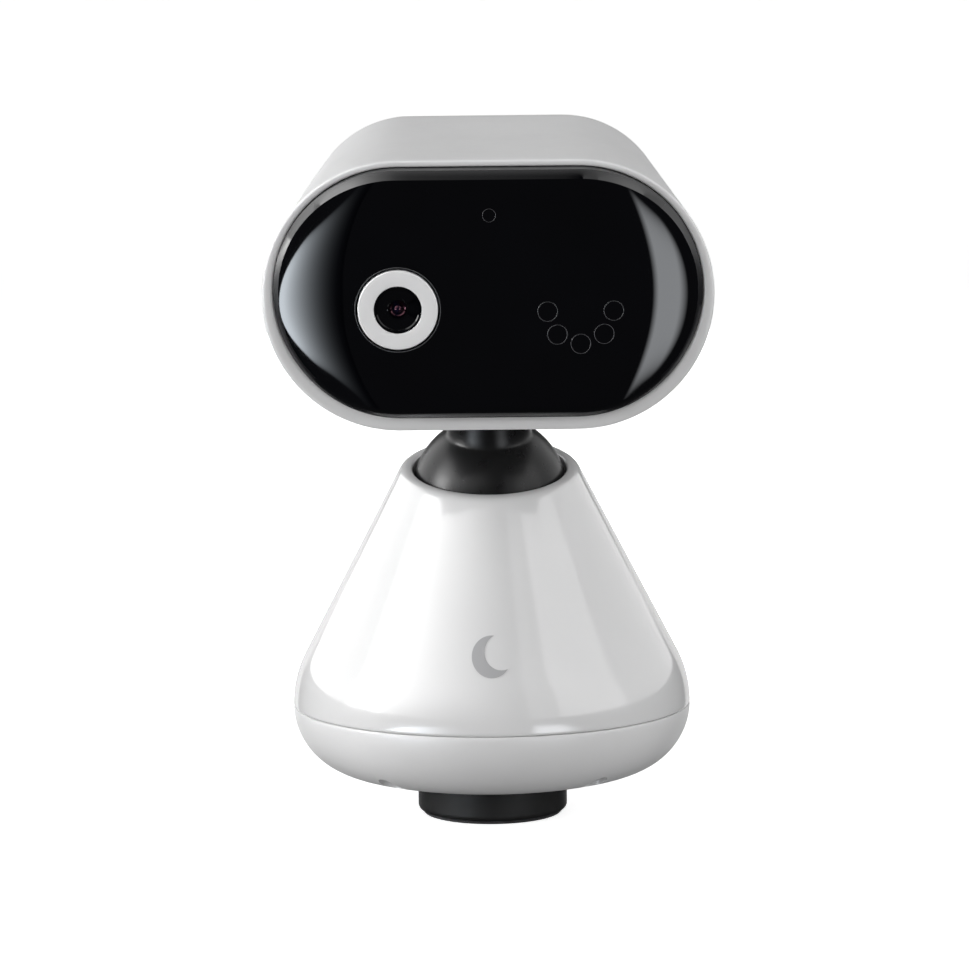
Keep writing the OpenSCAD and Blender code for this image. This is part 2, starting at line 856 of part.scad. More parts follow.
module lens_ring() {
    face_y = visor_tip + 0.9;
    color("white") in_head() translate([-eye_x, 0, eye_z]) facing(visor_back) difference() {
        union() {
            cylinder(r = lens_ring_r, h = visor_back - face_y);
            cylinder(r = lens_ring_r + 1, h = 2.8);
        }
        translate([0, 0, -1]) cylinder(r = lens_ring_bore, h = 30);
    }
}

module lens_bezel() {
    depth = 5;
    color(visor_black) in_head() translate([-eye_x, 0, eye_z]) facing(visor_tip + 1.3 + depth) difference() {
        cylinder(r = lens_ring_bore, h = depth);
        translate([0, 0, -1]) cylinder(r = 2.4, h = 10);
        translate([0, 0, depth - 1.4]) cylinder(r1 = 2.4, r2 = 4, h = 1.4 + eps);
    }
}

module lens_window() {
    color("#22263a") in_head() translate([-eye_x, 0, eye_z]) facing(visor_tip + 4.6) intersection() {
        cylinder(r = 2.4, h = 2);
        translate([0, 0, -3.4]) sphere(r = 5.2);
    }
}

module lens_barrel() {
    color("#121214") in_head() translate([-eye_x, 0, eye_z]) facing(-14.4) difference() {
        union() {
            cylinder(r = 4.7, h = 15.2);
            for (i = [0 : 3]) translate([0, 0, 9 + 1.4 * i]) cylinder(r = 4.85, h = 0.7);
        }
        translate([0, 0, 13]) cylinder(r1 = 2.2, r2 = 3.8, h = 2.2 + eps);
    }
}

module lens_holder() {
    color("#2e2f33") in_head() translate([-eye_x, 0, eye_z]) facing(-14.4) difference() {
        translate([-7, -7, 0]) cube([14, 14, -14.4 - ledge_y]);
        translate([0, 0, -1]) cylinder(r = 4.85, h = 30);
    }
}

module sensor_board() {
    color(board_green) in_head() translate([-eye_x, 0, eye_z]) facing(-13.2)
        translate([-8, -8, 0]) cube([16, 16, 1.2]);
}

module lamp_board() {
    color(board_green) in_head() translate([eye_x + 0.35, 0, 0]) facing(visor_back) difference() {
        translate([-9.5, 34, 0]) cube([19, 17, 1.2]);
        translate([0, lamp_mid_z, -1]) cylinder(r = 1.2, h = 4);
    }
}

module infrared_lamps() {
    color("#3b3444") in_head() translate([eye_x + 0.35, 0, lamp_mid_z]) facing(visor_back - 1.2)
        for (i = [0 : lamp_count - 1])
            rotate(180 + i * 180 / (lamp_count - 1)) translate([lamp_arc_r, 0, 0]) {
                cylinder(r = lamp_r + 0.2, h = 0.8);
                cylinder(r = lamp_r, h = 1.2);
                translate([0, 0, 0.6]) intersection() {
                    sphere(r = lamp_r);
                    cylinder(r = lamp_r, h = lamp_r);
                }
            }
}

module light_sensor() {
    color("#5a5f66") in_head() translate([0.3, 0, 64.3]) facing(visor_back) {
        cylinder(r = 2.2, h = 1.4);
        cylinder(r = 1.4, h = 4.4);
    }
}

module main_board() {
    color(board_green) in_head() difference() {
        translate([-34, main_y, 40]) cube([68, main_t, 24]);
        at_posts(20) cylinder(r = 1.1, h = 40);
    }
}

module main_parts() {
    color("#202124") in_head() {
        translate([-20, main_y - 1.2, 50]) cube([12, 1.2, 12]);
        translate([2, main_y - 1, 46]) cube([9, 1, 11]);
        translate([16, main_y - 1.4, 58]) cube([7, 1.4, 5]);
        translate([-4, main_y + main_t, 41]) cube([9, 3, 4]);
    }
}

module heat_plate() {
    color("silver") in_head() translate([-24, main_y + main_t, 49]) {
        cube([20, 1, 15]);
        for (i = [0 : 6]) translate([0.5 + i * 3, 0, 0]) cube([1, 4, 15]);
    }
}

module antenna() {
    color("#c79a52") in_head() {
        translate([4, main_y + main_t, 59]) cube([18, 0.8, 5]);
        translate([6, main_y + main_t + 0.8, 60.5]) cube([2, 1.2, 2]);
    }
}

module microphone() {
    color("#b9b9bb") in_head() translate([0, 0, mic_z]) facing(ledge_y + 2) cylinder(r = 2, h = 2);
}

module button_board() {
    color(board_green) in_head() {
        translate([-8, cover_y - 5.2, button_z - 5]) cube([16, 1, 10]);
        translate([-3, cover_y - 4.2, button_z - 3]) cube([6, 1.2, 6]);
        for (s = [-1, 1])
            translate([s * 6.8 - 0.8, cover_y - 4.2, button_z - 1]) cube([1.6, 4.2, 2]);
    }
}

module head_cable() {
    color("#55565c") {
        on_stem() translate([0, 0, -6]) cylinder(r = 2, h = stem_h + 16);
        on_stem() translate([0, 0, stem_h + 10]) sphere(r = 2);
        in_head() translate([-1.5, -2.2, 40.5]) cube([3, 6.2, 3.4]);
    }
}

module pair_button() {
    color("#d9dadc") in_head() translate([0, 0, button_z]) {
        facing(back_y + 1.1) cylinder(r = button_r, h = back_y + 1.1 - cover_y + 0.1);
        facing(cover_y - 0.1) cylinder(r = button_r + 1.2, h = 0.9);
    }
}

foot_shell();
foot_pad();
foot_weight();
stand_insert();
pan_gear();
hub_clip();
base_lower_shell();
base_upper_shell();
case_screws();
thrust_washer();
pan_bush();
ballast_ring();
base_chassis();
pan_motor();
motor_screws();
power_board();
power_parts();
usb_socket();
board_screws();
speaker();
socket_plate();
plate_screws();
friction_spring();
front_mark();
base_cable();
pan_pinion();
motor_shaft();
swivel_cup();
tilt_pins();
swivel_clip();
ball_stem();
stem_washer();
stem_nut();
head_housing();
rear_cover();
cover_screws();
visor();
front_frame();
lens_ring();
lens_bezel();
lens_window();
lens_barrel();
lens_holder();
sensor_board();
lamp_board();
infrared_lamps();
light_sensor();
main_board();
main_parts();
heat_plate();
antenna();
microphone();
button_board();
head_cable();
pair_button();
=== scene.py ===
# Baby monitor camera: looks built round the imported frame. Sizes are millimetres, turned to metres by MM.
import json
import math

import bmesh
import bpy
from mathutils import Matrix, Vector


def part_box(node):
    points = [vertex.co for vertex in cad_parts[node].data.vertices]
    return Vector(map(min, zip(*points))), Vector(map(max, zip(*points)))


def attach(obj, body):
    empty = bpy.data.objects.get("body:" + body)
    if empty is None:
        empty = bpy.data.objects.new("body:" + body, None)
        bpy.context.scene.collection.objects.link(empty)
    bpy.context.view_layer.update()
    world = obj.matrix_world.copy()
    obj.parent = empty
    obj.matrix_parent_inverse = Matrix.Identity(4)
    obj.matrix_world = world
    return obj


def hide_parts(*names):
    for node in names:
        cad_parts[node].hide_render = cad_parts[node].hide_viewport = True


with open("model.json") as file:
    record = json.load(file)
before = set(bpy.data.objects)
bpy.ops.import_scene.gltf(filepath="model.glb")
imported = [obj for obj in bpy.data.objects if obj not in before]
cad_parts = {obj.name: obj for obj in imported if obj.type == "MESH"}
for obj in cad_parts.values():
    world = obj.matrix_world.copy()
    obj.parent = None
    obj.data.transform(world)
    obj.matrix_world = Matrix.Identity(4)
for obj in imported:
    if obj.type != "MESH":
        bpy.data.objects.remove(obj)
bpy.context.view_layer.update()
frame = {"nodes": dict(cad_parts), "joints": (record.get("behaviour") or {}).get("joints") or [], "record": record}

MM = 0.001
TAU = 2 * math.pi


# ---------- what the frame says ----------

def corners(node):
    low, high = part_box(node)
    return Vector(low) / MM, Vector(high) / MM


def joint(name):
    return next(j for j in frame["joints"] if j["name"] == name)


BALL = Vector(joint("tilt")["pos_m"]) / MM
BALL_R = (corners("ball_stem")[1].x - corners("ball_stem")[0].x) / 2
SOCKET_AXIS = Vector(joint("swivel")["axis"]).normalized()
SOCKET_LEAN = math.atan2(-SOCKET_AXIS.y, SOCKET_AXIS.z)
PRESS_AXIS = Vector(joint("pair_press")["axis"])
HEAD_PITCH = math.atan2(-PRESS_AXIS.z, -PRESS_AXIS.y)
BASE_R = corners("base_upper_shell")[1].x
FOOT_R = corners("foot_shell")[1].x
HALF_WIDTH = corners("head_housing")[1].x

# ---------- sizes that follow the CAD ----------

SEAM_Z = 23.5
SEAM_GAP = 0.055
SEAM_EDGE = 0.25
SLOPE = 0.522
SHOULDER_R = 23.0
CORNER_R = 14.2
BELLY_Z = 6.1
BASE_WALL = 2.2
FLOOR_Z = 12.5
SCREW_RING_R = 33.0
SCREW_SEAT_Z = 14.0
SCREW_TURNS = (52, 128, 232, 308)
RIM_H = 5.8
RIM_BORE_R = 16.05
CUP_ROOM_R = 17.9
SPEAKER_Z = 44.0
SPEAKER_PITCH = 2.6
STEM_R = 7.6

HEAD_AHEAD = 31.0
HEAD_DEPTH = 58.0
FRONT_END_R = 27.3
BACK_END_R = 21.8
FRONT_FLAT = HALF_WIDTH - FRONT_END_R
BACK_FLAT = 16.0
FRONT_MID = 47.2
BACK_MID = 54.2
HEAD_WALL = 2.0
FRONT_Y = -HEAD_AHEAD
BACK_Y = HEAD_DEPTH - HEAD_AHEAD
PANEL_GAP = 0.12
COVER_END_R = 19.5
COVER_FLAT = BACK_FLAT - 0.2
COVER_MID = BACK_MID - 0.1
COVER_SCREWS = ((-30, 47), (-30, 62), (30, 47), (30, 62))
VENT_Z = 63
VENT_PITCH = 4

VISOR_END_R = 24.8
VISOR_FLAT = 17.9
VISOR_MID = 48.3
VISOR_PROUD = 5.4
EYE_X = 17.9
EYE_Z = 45.6
LAMP_Z = 45.0
LAMP_ARC_R = 6.55
LAMP_MARK_R = 1.95
SENSOR_Z = 64.3
SENSOR_MARK_R = 1.3
LENS_RING_R = 7.95
LENS_RING_BORE = 4.75
BUTTON_Z = 47.0
BUTTON_R = 4.0

FLANK = math.atan(SLOPE)
TOUCH_R = BASE_R - SHOULDER_R + SHOULDER_R * math.cos(FLANK)
TOUCH_Z = SEAM_Z + SHOULDER_R * math.sin(FLANK)
STEM_LEAN = math.atan2(BACK_MID - BACK_END_R - FRONT_MID + FRONT_END_R, HEAD_DEPTH)
STEM_H = (FRONT_MID - FRONT_END_R + HEAD_AHEAD * math.tan(STEM_LEAN)) * math.cos(STEM_LEAN)

UPRIGHT = Matrix.Identity(4)
IN_SOCKET = Matrix.Translation(BALL) @ Matrix.Rotation(SOCKET_LEAN, 4, "X")
IN_HEAD = Matrix.Translation(BALL) @ Matrix.Rotation(HEAD_PITCH, 4, "X")
ON_STEM = IN_HEAD @ Matrix.Rotation(STEM_LEAN, 4, "X")


def facing(x, y, z):
    """A place on the head whose own +Z looks forwards."""
    return IN_HEAD @ Matrix.Translation((x, y, z)) @ Matrix.Rotation(math.pi / 2, 4, "X")


# ---------- meshes ----------

def add_mesh(name, points, faces, place=UPRIGHT, sharp=40):
    mesh = bpy.data.meshes.new(name)
    mesh.from_pydata([(place @ Vector(p)) * MM for p in points], [], faces)
    form = bmesh.new()
    form.from_mesh(mesh)
    bmesh.ops.remove_doubles(form, verts=form.verts, dist=1e-7)
    bmesh.ops.recalc_face_normals(form, faces=form.faces)
    form.to_mesh(mesh)
    form.free()
    mesh.polygons.foreach_set("use_smooth", [True] * len(mesh.polygons))
    mesh.set_sharp_from_angle(angle=math.radians(sharp))
    obj = bpy.data.objects.new(name, mesh)
    bpy.context.scene.collection.objects.link(obj)
    return obj


def skin(name, rings, place=UPRIGHT, looped=False, caps=False, sharp=40):
    """Joins rings of equal length with quads."""
    count = len(rings[0])
    points = [p for ring in rings for p in ring]
    faces = []
    last = len(rings) if looped else len(rings) - 1
    for i in range(last):
        a = i * count
        b = (i + 1) % len(rings) * count
        for k in range(count):
            n = (k + 1) % count
            faces.append((a + k, a + n, b + n, b + k))
    if caps:
        faces.append(tuple(range(count - 1, -1, -1)))
        faces.append(tuple(range(len(points) - count, len(points))))
    return add_mesh(name, points, faces, place, sharp)


def lathe(name, outline, place=UPRIGHT, steps=160, looped=False, sharp=40):
    """Turns an outline of (radius, height) points about Z."""
    turns = [TAU * k / steps for k in range(steps)]
    rings = [[(r * math.cos(turn), r * math.sin(turn), z) for turn in turns] for r, z in outline]
    return skin(name, rings, place, looped, sharp=sharp)


def arc(x, z, r, start, end, count):
    """Points on a circle, from start to end degrees."""
    turn = [math.radians(start + (end - start) * i / count) for i in range(count + 1)]
    return [(x + r * math.cos(a), z + r * math.sin(a)) for a in turn]


def oval(end_r, flat, mid, y, arc_steps=56, flat_steps=14):
    """A ring of points round an upright oval at depth y."""
    points = []
    for side in (1, -1):
        for i in range(arc_steps):
            a = math.pi * (i / arc_steps - 0.5)
            x = side * (flat + end_r * math.cos(a))
            points.append(Vector((x, y, mid + side * end_r * math.sin(a))))
        for i in range(flat_steps):
            points.append(Vector((side * flat * (1 - 2 * i / flat_steps), y, mid + side * end_r)))
    return points


def moved(ring, y):
    return [Vector((p.x, y, p.z)) for p in ring]


def mix(a, b, t):
    return [p.lerp(q, t) for p, q in zip(a, b)]


def cut(obj, tools):
    """Cuts the tools out of a closed piece and removes them."""
    for tool in tools:
        step = obj.modifiers.new("cut", "BOOLEAN")
        step.operation = "DIFFERENCE"
        step.solver = "EXACT"
        step.object = tool
    apply_modifiers(obj)
    for tool in tools:
        bpy.data.objects.remove(tool)
    obj.data.set_sharp_from_angle(angle=math.radians(30))


def apply_modifiers(obj):
    bpy.context.view_layer.update()
    graph = bpy.context.evaluated_depsgraph_get()
    done = bpy.data.meshes.new_from_object(obj.evaluated_get(graph))
    obj.modifiers.clear()
    obj.data = done


def pin(name, r, low, high, place, steps=40):
    """A closed round tool or pin between two heights."""
    return lathe(name, [(0, low), (r, low), (r, high), (0, high)], place, steps)


# ---------- materials ----------

def new_material(name):
    material = bpy.data.materials.new(name)
    material.use_nodes = True
    tree = material.node_tree
    shader = tree.nodes["Principled BSDF"]
    coords = tree.nodes.new("ShaderNodeTexCoord")
    return material, tree, shader, coords.outputs["Object"]


def noise(tree, coords, per_mm, detail=3.0, stretch=(1, 1, 1)):
    place = tree.nodes.new("ShaderNodeMapping")
    place.inputs["Scale"].default_value = stretch
    tree.links.new(coords, place.inputs["Vector"])
    texture = tree.nodes.new("ShaderNodeTexNoise")
    texture.inputs["Scale"].default_value = per_mm / MM
    texture.inputs["Detail"].default_value = detail
    tree.links.new(place.outputs["Vector"], texture.inputs["Vector"])
    return texture.outputs["Fac"]


def spread(tree, value, low, high, start=0.3, stop=0.7):
    node = tree.nodes.new("ShaderNodeMapRange")
    node.inputs["From Min"].default_value = start
    node.inputs["From Max"].default_value = stop
    node.inputs["To Min"].default_value = low
    node.inputs["To Max"].default_value = high
    tree.links.new(value, node.inputs["Value"])
    return node.outputs["Result"]


def tint(tree, value, dark, light):
    node = tree.nodes.new("ShaderNodeMix")
    node.data_type = "RGBA"
    node.inputs["A"].default_value = (*dark, 1)
    node.inputs["B"].default_value = (*light, 1)
    tree.links.new(value, node.inputs["Factor"])
    return node.outputs["Result"]


def bump(tree, value, shader, depth_mm):
    node = tree.nodes.new("ShaderNodeBump")
    node.inputs["Strength"].default_value = 1.0
    node.inputs["Distance"].default_value = depth_mm * MM
    tree.links.new(value, node.inputs["Height"])
    tree.links.new(node.outputs["Normal"], shader.inputs["Normal"])


def shade(colour, factor):
    return tuple(min(1.0, c * factor) for c in colour)


def plastic(name, colour, rough, grain_per_mm, grain_mm, change=0.03,
            coat=0.0, coat_rough=0.05, gloss=0.5):
    """Moulded plastic: faint colour drift, uneven polish and the grain of the mould."""
    material, tree, shader, coords = new_material(name)
    drift = noise(tree, coords, 0.06, 2)
    fleck = noise(tree, coords, grain_per_mm, 2)
    shown = tint(tree, spread(tree, drift, 0, 1), shade(colour, 1 - change), shade(colour, 1 + change))
    tree.links.new(shown, shader.inputs["Base Color"])
    tree.links.new(spread(tree, noise(tree, coords, 0.35, 4), rough * 0.88, rough * 1.14),
                   shader.inputs["Roughness"])
    bump(tree, fleck, shader, grain_mm)
    shader.inputs["Coat Weight"].default_value = coat
    shader.inputs["Coat Roughness"].default_value = coat_rough
    shader.inputs["Specular IOR Level"].default_value = gloss
    return material


def satin_where(material, attribute, rough):
    """Makes a material satin where a vertex attribute is 1."""
    tree = material.node_tree
    shader = next(node for node in tree.nodes if node.type == "BSDF_PRINCIPLED")
    polish = shader.inputs["Roughness"].links[0].from_socket
    mask = tree.nodes.new("ShaderNodeAttribute")
    mask.attribute_name = attribute
    scaled = tree.nodes.new("ShaderNodeMath")
    scaled.operation = "MULTIPLY"
    scaled.inputs[1].default_value = rough
    either = tree.nodes.new("ShaderNodeMath")
    either.operation = "MAXIMUM"
    tree.links.new(mask.outputs["Fac"], scaled.inputs[0])
    tree.links.new(scaled.outputs["Value"], either.inputs[0])
    tree.links.new(polish, either.inputs[1])
    tree.links.new(either.outputs["Value"], shader.inputs["Roughness"])
    return material


def metal(name, colour, rough, stretch=(1, 1, 12), marks_per_mm=2.0, marks_mm=0.006):
    """Metal with drawn or turned marks along one axis."""
    material, tree, shader, coords = new_material(name)
    marks = noise(tree, coords, marks_per_mm, 4, stretch)
    shown = tint(tree, spread(tree, marks, 0, 1), shade(colour, 0.86), shade(colour, 1.08))
    tree.links.new(shown, shader.inputs["Base Color"])
    tree.links.new(spread(tree, marks, rough * 0.75, rough * 1.3), shader.inputs["Roughness"])
    bump(tree, marks, shader, marks_mm)
    shader.inputs["Metallic"].default_value = 1.0
    return material


def circuit_board(name):
    """Solder mask over copper: tracks show as slightly lighter, raised lines."""
    material, tree, shader, coords = new_material(name)
    tracks = tree.nodes.new("ShaderNodeTexVoronoi")
    tracks.distance = "MANHATTAN"
    tracks.feature = "F1"
    tracks.inputs["Scale"].default_value = 0.45 / MM
    tree.links.new(coords, tracks.inputs["Vector"])
    lines = spread(tree, tracks.outputs["Distance"], 0, 1, 0.42, 0.5)
    tree.links.new(tint(tree, lines, (0.012, 0.11, 0.035), (0.03, 0.24, 0.08)), shader.inputs["Base Color"])
    tree.links.new(spread(tree, noise(tree, coords, 1.2), 0.25, 0.4), shader.inputs["Roughness"])
    bump(tree, lines, shader, 0.03)
    return material


def lens_coating(name):
    """Dark glass whose coating drifts from violet to blue."""
    material, tree, shader, coords = new_material(name)
    drift = noise(tree, coords, 0.8, 1)
    shown = tint(tree, spread(tree, drift, 0, 1), (0.008, 0.002, 0.004), (0.003, 0.004, 0.016))
    tree.links.new(shown, shader.inputs["Base Color"])
    tree.links.new(spread(tree, drift, 0.02, 0.05), shader.inputs["Roughness"])
    shader.inputs["IOR"].default_value = 1.6
    shader.inputs["Specular Tint"].default_value = (0.7, 0.3, 0.38, 1)
    return material


WHITE = (0.80, 0.80, 0.803)
FINISHES = {
    "shell_gloss": plastic("gloss_white_plastic", WHITE, 0.13, 0.5, 0.0012, 0.012,
                           coat=0.35, coat_rough=0.03),
    "shell_satin": plastic("satin_white_plastic", WHITE, 0.36, 9.0, 0.006, 0.015),
    "ring_white": plastic("ring_white_plastic", (0.86, 0.86, 0.865), 0.42, 11.0, 0.006, 0.012),
    "button_grey": plastic("button_grey_plastic", (0.55, 0.55, 0.57), 0.4, 9.0, 0.008, 0.02),
    "mark_grey": plastic("mark_grey_print", (0.42, 0.42, 0.43), 0.35, 14.0, 0.004, 0.05),
    "black_satin": plastic("satin_black_plastic", (0.005, 0.005, 0.0053), 0.3, 7.0, 0.006, 0.12,
                           gloss=0.22),
    "black_matte": plastic("matte_black_plastic", (0.012, 0.012, 0.0122), 0.5, 5.0, 0.02, 0.12,
                           gloss=0.18),
    "visor_black": satin_where(
        plastic("polished_black_visor", (0.0012, 0.0013, 0.0022), 0.035, 0.25, 0.0006, 0.2), "rim", 0.34),
    "frame_grey": plastic("matte_frame_plastic", (0.03, 0.03, 0.033), 0.6, 6.0, 0.02, 0.1),
    "mark_dark": plastic("mark_dark", (0.012, 0.012, 0.014), 0.4, 8.0, 0.01, 0.15),
    "rubber_dark": plastic("foot_rubber", (0.018, 0.018, 0.02), 0.82, 4.0, 0.03, 0.15),
    "cable_grey": plastic("cable_rubber", (0.06, 0.06, 0.065), 0.7, 5.0, 0.02, 0.1),
    "steel": metal("brushed_steel", (0.62, 0.62, 0.63), 0.3),
    "weight_iron": metal("cast_iron", (0.2, 0.2, 0.205), 0.62, (1, 1, 1), 1.5, 0.05),
    "brass": metal("turned_brass", (0.72, 0.53, 0.24), 0.28),
    "bearing_white": plastic("bearing_plastic", (0.78, 0.75, 0.66), 0.45, 5.0, 0.01, 0.04),
    "board_green": circuit_board("circuit_board"),
    "chip_black": plastic("chip_epoxy", (0.02, 0.02, 0.021), 0.55, 10.0, 0.015, 0.15),
    "heat_aluminium": metal("heat_aluminium", (0.78, 0.78, 0.79), 0.38, (8, 1, 1)),
    "antenna_copper": metal("antenna_copper", (0.72, 0.45, 0.25), 0.35, (10, 1, 1)),
    "lens_glass": lens_coating("coated_lens"),
    "lamp_clear": plastic("tinted_lamp", (0.03, 0.02, 0.045), 0.08, 1.0, 0.002, 0.1,
                          coat=0.6, coat_rough=0.03),
    "sensor_clear": plastic("tinted_sensor", (0.05, 0.055, 0.065), 0.1, 1.0, 0.002, 0.1,
                            coat=0.6, coat_rough=0.03),
}


def finish_piece(obj, slot, body, *nodes, finish=None):
    obj.data.materials.clear()
    obj.data.materials.append(FINISHES[finish or slot])
    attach(obj, body)
    if nodes:
        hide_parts(*nodes)


def finish_frame_nodes():
    """Gives every CAD node its slot's finish."""
    for part in frame["record"]["subparts"]:
        mesh = frame["nodes"][part["node"]].data
        mesh.materials.clear()
        mesh.materials.append(FINISHES[part["material_slot"]])


# ---------- base ----------

def cone_r(z, inset=0.0):
    return TOUCH_R - SLOPE * (z - TOUCH_Z) - inset / math.cos(FLANK)


def soft_corner(a, corner, b, steps=6):
    """Points of a rounded corner between a and b."""
    return [a.lerp(corner, t).lerp(corner.lerp(b, t), t) for t in (i / steps for i in range(steps + 1))]


def on_socket(r, turn, height):
    """A place on a circle about the socket's leaning axis."""
    return IN_SOCKET @ Vector((r * math.cos(turn), r * math.sin(turn), height))


def cone_section(turn):
    """The cone's wall on one side: up the outside from the seam, over the rim and down the inside."""
    out = Vector((math.cos(turn), math.sin(turn), 0))

    def at(r, z):
        return out * r + Vector((0, 0, z))

    side_x = BASE_R - SHOULDER_R
    low = SEAM_Z + SEAM_GAP
    # where this side of the cone meets the leaning rim plane
    rim_mid = IN_SOCKET @ Vector((0, 0, RIM_H))
    lean = -SOCKET_AXIS.y * math.sin(turn)
    reach = rim_mid.dot(SOCKET_AXIS) + lean * (TOUCH_R + SLOPE * TOUCH_Z)
    rim_z = reach / (SOCKET_AXIS.z + lean * SLOPE)
    outer = at(cone_r(rim_z), rim_z)
    inner = on_socket(RIM_BORE_R, turn, RIM_H)
    down = (at(cone_r(rim_z - 10), rim_z - 10) - outer).normalized()
    flank_end = outer + down * 1.1
    section = [at(BASE_R - BASE_WALL, low), at(BASE_R - SEAM_EDGE, low)]
    section += [at(BASE_R - 0.08, low + 0.1), at(BASE_R, low + SEAM_EDGE)]
    section += [at(r, z) for r, z in arc(side_x, SEAM_Z, SHOULDER_R, 2, math.degrees(FLANK), 16)]
    flank_start = section[-1]
    section += [flank_start.lerp(flank_end, i / 26) for i in range(1, 26)]
    section += soft_corner(flank_end, outer, outer.lerp(inner, 0.45))
    section += soft_corner(outer.lerp(inner, 0.65), inner, inner - SOCKET_AXIS * 0.7)[1:]
    section.append(inner - SOCKET_AXIS * 1.2)
    # room for the swivel cup below the ring that closes round the ball
    for r, height in ((RIM_BORE_R, 2.6), (CUP_ROOM_R, 2.3), (CUP_ROOM_R, -0.5)):
        section.append(on_socket(r, turn, height))
    inside_top = 63
    for i in range(9):
        z = inside_top - (inside_top - TOUCH_Z) * i / 8
        section.append(at(cone_r(z, BASE_WALL), z))
    inside = arc(side_x, SEAM_Z, SHOULDER_R - BASE_WALL, math.degrees(FLANK), 2, 8)
    return section + [at(r, z) for r, z in inside[1:]]


def make_upper_shell():
    steps = 240
    sections = [cone_section(TAU * k / steps) for k in range(steps)]
    shell = skin("cone_shell", list(zip(*sections)), looped=True, sharp=50)
    cut(shell, speaker_holes() + [inlet_hole()])
    finish_piece(shell, "shell_gloss", "base", "base_upper_shell")


def speaker_holes():
    """A round of holes in the back of the cone, at a right angle to its wall."""
    spot = Vector((0, cone_r(SPEAKER_Z, BASE_WALL), SPEAKER_Z))
    place = Matrix.Translation(spot) @ Matrix.Rotation(-math.pi / 2 + FLANK, 4, "X")
    places = [(0.0, 0.0)]
    for ring in (1, 2):
        for i in range(6 * ring):
            turn = TAU * i / (6 * ring)
            places.append((SPEAKER_PITCH * ring * math.cos(turn), SPEAKER_PITCH * ring * math.sin(turn)))
    return [pin("hole", 0.7, -4, 8, place @ Matrix.Translation((x, y, 0)), 20) for x, y in places]


def inlet_hole():
    box_low, box_high = corners("usb_socket")
    mid_z = (box_low.z + box_high.z) / 2
    half_h = (box_high.z - box_low.z) / 2 + 0.35
    half_flat = (box_high.x - box_low.x) / 2 - (box_high.z - box_low.z) / 2
    rings = [oval(half_h, half_flat, mid_z, y, 16, 4) for y in (34.0, BASE_R + 2)]
    return skin("inlet", rings, caps=True)


def make_lower_shell():
    corner_x = BASE_R - CORNER_R
    rise = SEAM_Z - BELLY_Z
    belly_r = (corner_x ** 2 + rise ** 2 - CORNER_R ** 2) / (2 * (rise - CORNER_R))
    belly_mid = BELLY_Z + belly_r
    belly_turn = math.degrees(math.atan2(corner_x, belly_mid - SEAM_Z))
    hole_r = FOOT_R + 0.4
    hole_turn = math.degrees(math.asin((hole_r + 0.5) / belly_r))
    top = SEAM_Z - SEAM_GAP
    outline = [(BASE_R - BASE_WALL, top), (BASE_R - SEAM_EDGE, top), (BASE_R - 0.08, top - 0.1)]
    outline += arc(corner_x, SEAM_Z, CORNER_R, -2, belly_turn - 90, 24)
    outline += arc(0, belly_mid, belly_r, belly_turn - 90, hole_turn - 90, 14)[1:]
    lip_z = outline[-1][1]
    outline += [(hole_r + 0.15, lip_z + 0.12), (hole_r, lip_z + 0.6)]
    outline += [(hole_r, FLOOR_Z), (hole_r + 2, FLOOR_Z + 1)]
    outline += arc(0, belly_mid, belly_r - BASE_WALL, hole_turn + 1.5 - 90, belly_turn - 90, 8)
    outline += arc(corner_x, SEAM_Z, CORNER_R - BASE_WALL, belly_turn - 90, -2, 10)[1:]
    bowl = lathe("bowl_shell", outline, steps=240, looped=True, sharp=50)
    holes = []
    for turn in SCREW_TURNS:
        # a second cut a little further out makes each recess slightly long
        for reach in (0.0, 1.3):
            out = Matrix.Translation((SCREW_RING_R + reach, 0, 0))
            spot = Matrix.Rotation(math.radians(turn), 4, "Z") @ out
            holes.append(pin("recess", 2.5 - 0.2 * reach, 4, SCREW_SEAT_Z - reach * 0.3, spot))
    cut(bowl, holes)
    finish_piece(bowl, "shell_satin", "base", "base_lower_shell")


# ---------- foot ----------

def make_foot():
    edge = 1.2
    outline = [(FOOT_R - 1, 0.62)] + arc(FOOT_R - edge, 0.6 + edge, edge, -88, 0, 10)
    outline += [(FOOT_R, 4), (FOOT_R, 11.4), (FOOT_R - 0.6, 12), (8, 12), (8, 20.2), (7.6, 20.6)]
    outline += [(3.6, 20.6), (3.4, 20.4), (3.4, 10), (6.4, 9.8), (6.4, 1.7), (FOOT_R - 1, 1.7)]
    foot = lathe("foot_body", outline, looped=True)
    finish_piece(foot, "black_satin", "foot", "foot_shell", finish="black_matte")
    pad_outline = [(6, 1.6), (6, 0.2), (6.2, 0)]
    for groove in (8.5, 11.5):
        pad_outline += [(groove - 0.4, 0), (groove - 0.4, 0.4), (groove + 0.4, 0.4), (groove + 0.4, 0)]
    pad_outline += [(FOOT_R - 1.3, 0), (FOOT_R - 1.05, 0.25), (FOOT_R - 1.02, 1.6)]
    pad = lathe("foot_grip", pad_outline, looped=True)
    finish_piece(pad, "rubber_dark", "foot", "foot_pad")


# ---------- ball and stem ----------

